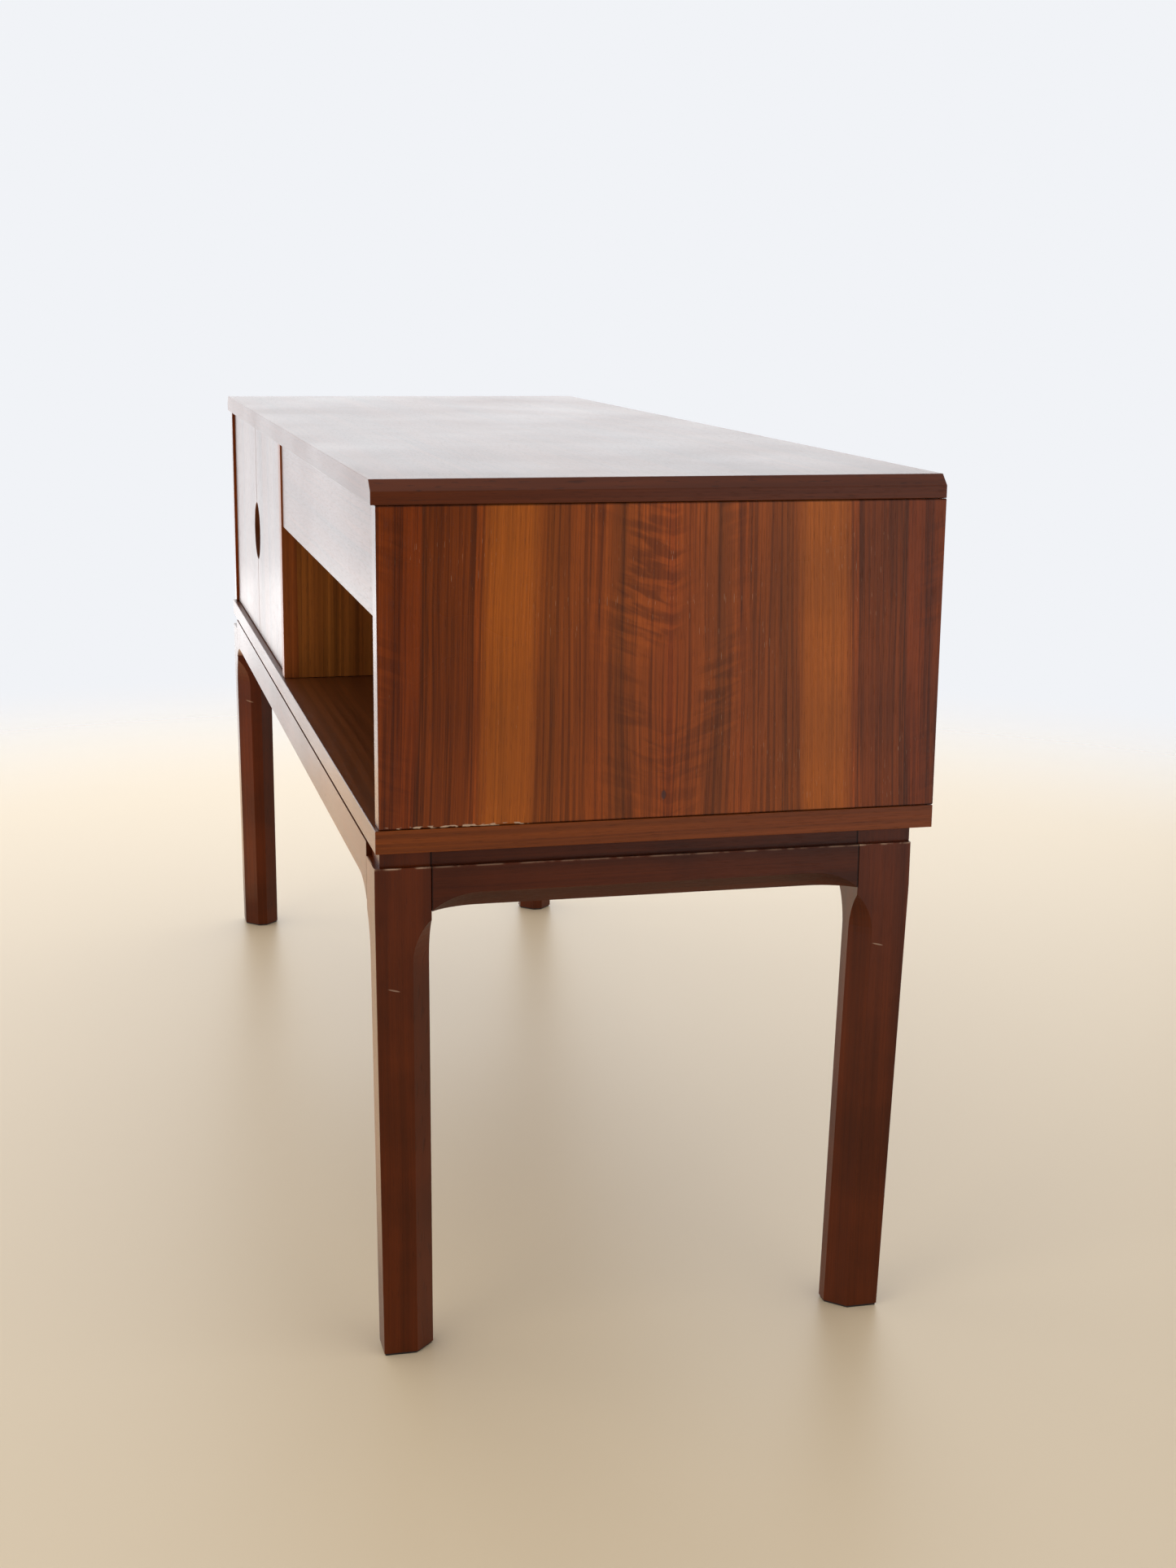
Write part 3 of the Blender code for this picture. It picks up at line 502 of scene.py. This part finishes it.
def make_frame_wood(name, grain, seed, tone_level=1.0):
    """Dark solid wood of the base frame, rubbed pale along the arris of its ledges."""
    shader = Wood(name, grain, seed)
    shader.bend()
    tone = shader.band(shader.layer(0.8, 34.0, 3.0, 0.6), 0.25, 0.75)
    colour = shader.ramp(tone, FRAME_WOOD)
    colour = shader.shade(colour, shader.band(shader.cloud(16.0, 3.0, seed), 0.3, 0.7,
                                              (1 - FRAME_MOTTLE) * tone_level,
                                              (1 + FRAME_MOTTLE) * tone_level))
    colour, height = shader.details(colour, 0.10, 0.10, 0.20)
    x, y, z = shader.x, shader.y, shader.z
    low, high = Vector(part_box("rail_right")[0]), Vector(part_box("rail_right")[1])
    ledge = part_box("bottom_panel")[0][2] - REBATE_H
    outer = shader.math("ABSOLUTE", x)
    end_arris = shader.near(outer, high.x, z, ledge, END_WEAR)
    front_arris = shader.near(y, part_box("rail_front")[0][1], z, ledge, FRONT_WEAR)
    front_arris = shader.times(front_arris, shader.math("GREATER_THAN", outer,
                                                        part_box("rail_front")[1][0]))
    rubbed = shader.band(shader.cloud(75.0, 4.0, 1.0), 0.42, 0.58)
    on_leg = shader.plus(shader.math("LESS_THAN", y, low.y),
                         shader.math("GREATER_THAN", y, high.y))
    rubbed = shader.times(rubbed, shader.mix_number(on_leg, RAIL_WEAR, 1.0))
    worn = shader.times(shader.math("MAXIMUM", end_arris, front_arris), rubbed)
    for joint in (low.y, high.y):
        seam = shader.band(shader.math("ABSOLUTE", shader.math("SUBTRACT", y, joint)),
                           *RAIL_SEAM)
        seam = shader.times(seam, shader.band(z, low.z - 0.001, low.z))
        seam = shader.times(seam, shader.math("GREATER_THAN", outer, low.x))
        colour = shader.shade(colour, shader.fit(seam, -0.6, 1.0))
    for end, (off, up) in zip((low.y, high.y), SCRATCHES):
        side = end + off
        scratch = shader.spot(y, side, SCRATCH_SIZE[0], shader.fit(y, SCRATCH_SLANT, z),
                              up + side * SCRATCH_SLANT, SCRATCH_SIZE[1])
        worn = shader.math("MAXIMUM", worn, shader.times(scratch, 0.6))
    colour = shader.mix(shader.times(worn, 0.75), colour, BARE_WOOD)
    return shader.lacquered(colour, height, 0.30, shine=0.17, dull=worn)


def make_divider_wood(name):
    """Golden inner veneer with a redder solid lipping along the front."""
    shader = Wood(name, "Z", 4.0)
    shader.bend()
    tone = shader.band(shader.layer(TONE_RUN, 22.0, 3.0, 0.6), *TONES_AT)
    streak = shader.band(shader.layer(*STREAK_SCALE, 2.0, 0.5, 7.0), 0.60, 0.70)
    inner = shader.shade(shader.ramp(tone, INSIDE_WOOD), shader.fit(streak, -0.35, 1.0))
    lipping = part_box("centre_divider")[0][1] + LIPPING_DEPTH
    colour = shader.mix(shader.band(shader.y, lipping, lipping + 0.0006),
                        shader.ramp(tone, DIVIDER_LIPPING), inner)
    colour, height = shader.details(colour)
    return shader.lacquered(colour, height, 0.36)


def make_back_ply(name):
    """Rotary-cut plywood, its figure wandering in broad flames."""
    shader = Wood(name, "X", 9.0)
    shader.bend(amount=0.20, along_scale=1.4, across_scale=3.6)
    rings = shader.math("SINE", shader.times(shader.bent, 260.0))
    tone = shader.plus(shader.times(rings, 0.07), shader.layer(1.6, 42.0, 3.0, 0.6))
    colour = shader.ramp(shader.band(tone, 0.25, 0.75), PLY)
    colour, height = shader.details(colour, 0.06, 0.07, 0.20)
    return shader.lacquered(colour, height, 0.58, depth=0.00003)


# ---------------------------------------------------------------- metal and plastic
POLISH_SCALE = (300.0, 900.0)      # polishing lines per metre, along X and across it


def make_metal(name, bright, dull, roughness):
    """Metal with fine polishing lines and darker, duller clouds of tarnish."""
    shader = Shader(name)
    tarnish = shader.band(shader.cloud(90.0, 4.0), 0.38, 0.68)
    colour = shader.mix(tarnish, linear(*bright), linear(*dull))
    along, across = POLISH_SCALE
    fine = shader.noise(shader.times(shader.x, along), shader.times(shader.y, across),
                        shader.times(shader.z, across), 2.0)
    colour = shader.shade(colour, shader.band(fine, 0.3, 0.7, 0.88, 1.08))
    rough = shader.plus(shader.fit(tarnish, 0.22, roughness), shader.times(fine, 0.10))
    return shader.finish(colour, rough, fine, 0.00002, Metallic=1.0)


def make_plastic(name, colour_low, colour_high, roughness):
    """Moulded plastic with a fine grained surface and slight rubbing."""
    shader = Shader(name)
    cloud = shader.cloud(110.0, 4.0)
    colour = shader.mix(shader.band(cloud, 0.35, 0.65), linear(*colour_low), linear(*colour_high))
    grain = shader.cloud(2600.0, 1.0, 3.0)
    rough = shader.fit(cloud, 0.25, roughness - 0.12)
    return shader.finish(colour, rough, grain, 0.00003, Specular_IOR_Level=0.4)


# ---------------------------------------------------------------- fine pieces
def new_piece(name, bm, material, body):
    """Turns a bmesh into a smooth shaded piece that rides on a body."""
    mesh = bpy.data.meshes.new(name)
    bmesh.ops.recalc_face_normals(bm, faces=bm.faces)
    bm.to_mesh(mesh)
    bm.free()
    mesh.shade_smooth()
    mesh.set_sharp_from_angle(angle=math.radians(SMOOTH_ANGLE))
    mesh.materials.append(material)
    piece = bpy.data.objects.new(name, mesh)
    bpy.context.scene.collection.objects.link(piece)
    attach(piece, body)
    return piece


def add_screw(bm, place, direction, radius, turn):
    """Adds a slotted countersunk head that stands a little proud of a face."""
    head = bmesh.ops.create_uvsphere(bm, u_segments=HEAD_SIDES, v_segments=HEAD_RINGS,
                                     radius=radius)["verts"]
    for vert in head:
        vert.co.z *= (HEAD_RISE if vert.co.z > 0 else HEAD_SUNK) / radius
    slot = radius * SLOT_HALF
    wall = radius * SLOT_WALL
    for offset in (-slot, -slot + wall, slot - wall, slot):
        geometry = set(head)
        geometry |= {edge for vert in head for edge in vert.link_edges}
        geometry |= {face for vert in head for face in vert.link_faces}
        cut = bmesh.ops.bisect_plane(bm, geom=list(geometry), dist=1e-7,
                                     plane_co=(0, offset, 0), plane_no=(0, 1, 0))
        head = list({*head, *(item for item in cut["geom_cut"]
                              if isinstance(item, bmesh.types.BMVert))})
    for vert in head:
        if abs(vert.co.y) < slot - wall / 2 and vert.co.z > -1e-6:
            vert.co.z -= radius * SLOT_DEPTH
    spin = Matrix.Rotation(math.radians(turn), 4, "Z")
    aim = Vector(direction).to_track_quat("Z", "Y").to_matrix().to_4x4()
    bmesh.ops.transform(bm, matrix=Matrix.Translation(place) @ aim @ spin, verts=head)


def make_screws(name, places, direction, radius, material, body):
    """A group of screw heads on one face, their slots left at chance angles."""
    bm = bmesh.new()
    for number, place in enumerate(places):
        add_screw(bm, Vector(place), direction, radius, FIRST_TURN + NEXT_TURN * number)
    return new_piece(name, bm, material, body)


def middle_of(node):
    """Middle of a CAD node's box."""
    low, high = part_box(node)
    return (Vector(low) + Vector(high)) / 2


def make_back_screws(steel):
    """Screws round the edge of the back panel, and one row into the divider."""
    low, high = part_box("back_panel")
    edge = BACK_SCREW_EDGE
    places = []
    for step in range(BACK_SCREWS):
        run = high[0] - low[0] - 2 * BACK_SCREW_END
        x = low[0] + BACK_SCREW_END + run * step / (BACK_SCREWS - 1)
        places += [(x, high[1], low[2] + edge), (x, high[1], high[2] - edge)]
    z = (low[2] + high[2]) / 2
    places += [(low[0] + edge, high[1], z), (high[0] - edge, high[1], z)]
    for share in DIVIDER_SCREWS:
        places.append((middle_of("centre_divider").x, high[1], low[2] + (high[2] - low[2]) * share))
    make_screws("back_panel_screws", places, (0, 1, 0), BACK_SCREW_R, steel, "bench")


def make_plate_screws(brass):
    """Two screws in every pivot plate, in the case and in the doors."""
    for side, away in (("left", 1), ("right", -1)):
        for level in ("top", "foot"):
            down = -1 if level == "top" else 1
            low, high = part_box("case_pivot_%s_%s" % (side, level))
            start = low[0] + PLATE_END if away > 0 else high[0] - PLATE_END
            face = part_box("top_panel")[0][2] if level == "top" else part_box("bottom_panel")[1][2]
            y = (low[1] + high[1]) / 2
            places = [(start + away * gap, y, face) for gap in PLATE_SCREWS]
            make_screws("case_pivot_screws_%s_%s" % (side, level), places, (0, 0, down),
                        PLATE_SCREW_R, brass, "bench")
            low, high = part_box("door_pivot_%s_%s" % (side, level))
            face = high[2] if level == "top" else low[2]
            places = [(start + away * gap, y, face) for gap in PLATE_SCREWS]
            make_screws("door_pivot_screws_%s_%s" % (side, level), places, (0, 0, -down),
                        PLATE_SCREW_R, brass, side + "_door")


def make_runner_screws(steel):
    """Three screws in each drawer runner."""
    for side, toward in (("left", 1), ("right", -1)):
        node = "drawer_runner_" + side
        low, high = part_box(node)
        x = high[0] if toward > 0 else low[0]
        length = high[1] - low[1]
        places = [(x, low[1] + length * share, middle_of(node).z) for share in RUNNER_SCREWS]
        make_screws(node + "_screws", places, (toward, 0, 0), RUNNER_SCREW_R, steel, "bench")


def add_strip(bm, middle, size, bevel):
    """Adds a box with rounded edges."""
    verts = bmesh.ops.create_cube(bm, size=1.0)["verts"]
    matrix = Matrix.Translation(middle) @ Matrix.Diagonal((*size, 1.0))
    bmesh.ops.transform(bm, matrix=matrix, verts=verts)
    edges = list({edge for vert in verts for edge in vert.link_edges})
    bmesh.ops.bevel(bm, geom=edges, offset=bevel, segments=2, profile=0.5, affect="EDGES")


def make_catch_details(steel):
    """Pole plates of the magnets, and the screws of catches and strike plates."""
    for side in ("left", "right"):
        catch = "door_catch_" + side
        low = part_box(catch)[0]
        middle = middle_of(catch)
        bm = bmesh.new()
        for up in (-POLE_FROM_MIDDLE, POLE_FROM_MIDDLE):
            add_strip(bm, (middle.x, low[1], middle.z + up), POLE_SIZE, POLE_EDGE)
        new_piece("catch_poles_" + side, bm, steel, "bench")
        places = [(middle.x + way * CATCH_SCREW_FROM_MIDDLE, middle.y + CATCH_SCREW_SETBACK,
                   low[2]) for way in (-1, 1)]
        make_screws("catch_screws_" + side, places, (0, 0, -1), CATCH_SCREW_R, steel, "bench")
        strike = "door_strike_" + side
        place = middle_of(strike)
        place.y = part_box(strike)[1][1] - STRIKE_SCREW_SUNK
        make_screws("strike_screw_" + side, [place], (0, 1, 0), CATCH_SCREW_R, steel,
                    side + "_door")


def make_frame_screw_heads(steel):
    """Slotted heads on the four screws that hold the case to its base."""
    for corner in ("front_left", "front_right", "back_left", "back_right"):
        node = "frame_screw_" + corner
        place = middle_of(node)
        place.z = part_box(node)[0][2]
        make_screws("frame_screw_head_" + corner, [place], (0, 0, -1), FRAME_SCREW_R, steel,
                    "bench")


def make_dovetails(walnut, beech):
    """Pins of the dovetail joints, almost flush in the outer faces of the drawer sides."""
    for side, outward in (("left", -1), ("right", 1)):
        low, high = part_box("drawer_side_" + side)
        face = high[0] if outward > 0 else low[0]
        pitch = (high[2] - low[2]) / PINS
        for end, start, inward, material in (("front", low[1], 1, walnut),
                                             ("back", high[1], -1, beech)):
            bm = bmesh.new()
            for number in range(PINS):
                z = low[2] + pitch * (number + 0.5)
                outline = ((0, -PIN_TIP), (PIN_DEPTH, -PIN_ROOT), (PIN_DEPTH, PIN_ROOT),
                           (0, PIN_TIP))
                base = face - outward * PIN_SUNK
                corners = [bm.verts.new((base, start + inward * run, z + rise))
                           for run, rise in outline]
                flat = bm.faces.new(corners)
                raised = bmesh.ops.extrude_face_region(bm, geom=[flat])["geom"]
                lifted = [item for item in raised if isinstance(item, bmesh.types.BMVert)]
                bmesh.ops.translate(bm, verts=lifted,
                                    vec=(outward * (PIN_SUNK + PIN_PROUD), 0, 0))
            new_piece("dovetail_pins_%s_%s" % (end, side), bm, material, "drawer")


# ---------------------------------------------------------------- stage and light
def make_stage():
    """A plain pale floor that fades into the white surroundings."""
    bm = bmesh.new()
    bmesh.ops.create_circle(bm, cap_ends=True, segments=96, radius=FLOOR_RADIUS)
    mesh = bpy.data.meshes.new("floor")
    bm.to_mesh(mesh)
    bm.free()
    floor = bpy.data.objects.new("floor", mesh)
    bpy.context.scene.collection.objects.link(floor)
    shader = Shader("floor_pale")
    radius = shader.math("SQRT", shader.plus(shader.times(shader.x, shader.x),
                                             shader.times(shader.y, shader.y)))
    shader.finish(linear(*FLOOR_COLOUR), 0.42, Specular_IOR_Level=0.5)
    shader.put(shader.main.inputs["Alpha"], shader.band(radius, *FLOOR_FADE, 1.0, 0.0))
    floor.data.materials.append(shader.material)


def area_light(name, place, target, size, radiance, colour):
    """A soft rectangular light that the camera doesn't see."""
    data = bpy.data.lights.new(name, "AREA")
    data.shape = "RECTANGLE"
    data.size, data.size_y = size
    data.energy = radiance * math.pi * size[0] * size[1]
    data.color = colour
    lamp = bpy.data.objects.new(name, data)
    bpy.context.scene.collection.objects.link(lamp)
    lamp.location = place
    lamp.rotation_euler = (Vector(target) - Vector(place)).to_track_quat("-Z", "Y").to_euler()
    lamp.visible_camera = False


def make_flag():
    """A dark sheet behind the camera, which keeps glare off the near end."""
    bm = bmesh.new()
    bmesh.ops.create_grid(bm, x_segments=1, y_segments=1, size=0.5)
    bmesh.ops.rotate(bm, cent=(0, 0, 0), matrix=Matrix.Rotation(math.pi / 2, 3, "Y"),
                     verts=bm.verts)
    bmesh.ops.scale(bm, vec=(1.0, *FLAG_SIZE), verts=bm.verts)
    mesh = bpy.data.meshes.new("flag")
    bm.to_mesh(mesh)
    bm.free()
    flag = bpy.data.objects.new("flag", mesh)
    flag.location = FLAG_PLACE
    bpy.context.scene.collection.objects.link(flag)
    flag.visible_camera = False
    flag.data.materials.append(Shader("flag_dark").finish(linear(*FLAG_COLOUR), 0.9))


def make_light():
    """Bright white surroundings, windows all round and glare from the floor."""
    world = bpy.data.worlds.new("studio")
    bpy.context.scene.world = world
    world.use_nodes = True
    back = world.node_tree.nodes["Background"]
    back.inputs["Color"].default_value = linear(*WALL_COLOUR)
    back.inputs["Strength"].default_value = 1.0
    for light in LIGHTS:
        area_light(*light)
    bpy.context.scene.view_settings.view_transform = "Standard"


def soften(node):
    """Rounds the sharp edges of a CAD node for the light to catch."""
    bevel = node.modifiers.new("soft_edges", "BEVEL")
    bevel.width = SOFT_EDGE
    bevel.segments = 2
    bevel.limit_method = "ANGLE"
    bevel.angle_limit = math.radians(SOFT_ANGLE)
    bevel.harden_normals = True


def main():
    """Dresses the frame."""
    make_camera()
    make_stage()
    make_flag()
    make_light()
    front = {"shine": 0.29, "depth": 0.00007}
    walnut_x = board("walnut_long", "X", 11.0, WALNUT, streaks=0.14, lines=0.2, **front)
    walnut_z = board("walnut_upright", "Z", 2.0, WALNUT, streaks=0.14, lines=0.2, **front)
    veneer = make_end_veneer("end_veneer")
    frame_x = make_frame_wood("frame_long", "X", 6.0)
    frame_y = make_frame_wood("frame_short", "Y", 7.0, 0.76)
    frame_z = make_frame_wood("frame_upright", "Z", 5.0)
    beech = board("beech", "Y", 8.0, BEECH, lines=0.08, fine=0.06, pores=0.12, streaks=0.05,
                  roughness=0.5)
    ply = make_back_ply("ply")
    brass = make_metal("brass", bright=(206, 164, 96), dull=(150, 108, 58), roughness=0.22)
    steel = make_metal("steel", bright=(168, 166, 160), dull=(112, 110, 106), roughness=0.30)
    plastic = make_plastic("brown_plastic", (46, 30, 20), (62, 42, 30), 0.5)
    nylon = make_plastic("nylon", (30, 26, 24), (44, 38, 34), 0.55)
    looks = {
        "top_panel": board("walnut_top", "X", 1.0, WALNUT, TOP_LIPPING, streaks=0.12,
                           lines=0.15, shine=0.17),
        "bottom_panel": board("walnut_bottom", "X", 13.0, WALNUT, BOTTOM_LIPPING, shine=0.18),
        "side_panel": veneer,
        "centre_divider": make_divider_wood("walnut_inside"),
        "back_panel": ply, "drawer_bottom": ply,
        "drawer_front": walnut_x,
        "door_catch": plastic, "door_pivot": brass, "door_strike": steel, "door": walnut_z,
        "leg": frame_z, "rail_left": frame_y, "rail_right": frame_y, "rail": frame_x,
        "drawer": beech, "corner": beech,
        "case_pivot": brass, "pivot_washer": nylon, "foot_glide": nylon, "frame_screw": steel,
    }
    for name, node in NODES.items():
        look = next(material for start, material in looks.items() if name.startswith(start))
        node.data.materials.clear()
        node.data.materials.append(look)
        if name.startswith(("leg_", "rail_")):
            soften(node)
    make_back_screws(steel)
    make_plate_screws(brass)
    make_runner_screws(steel)
    make_catch_details(steel)
    make_frame_screw_heads(steel)
    make_dovetails(walnut_z, beech)


main()
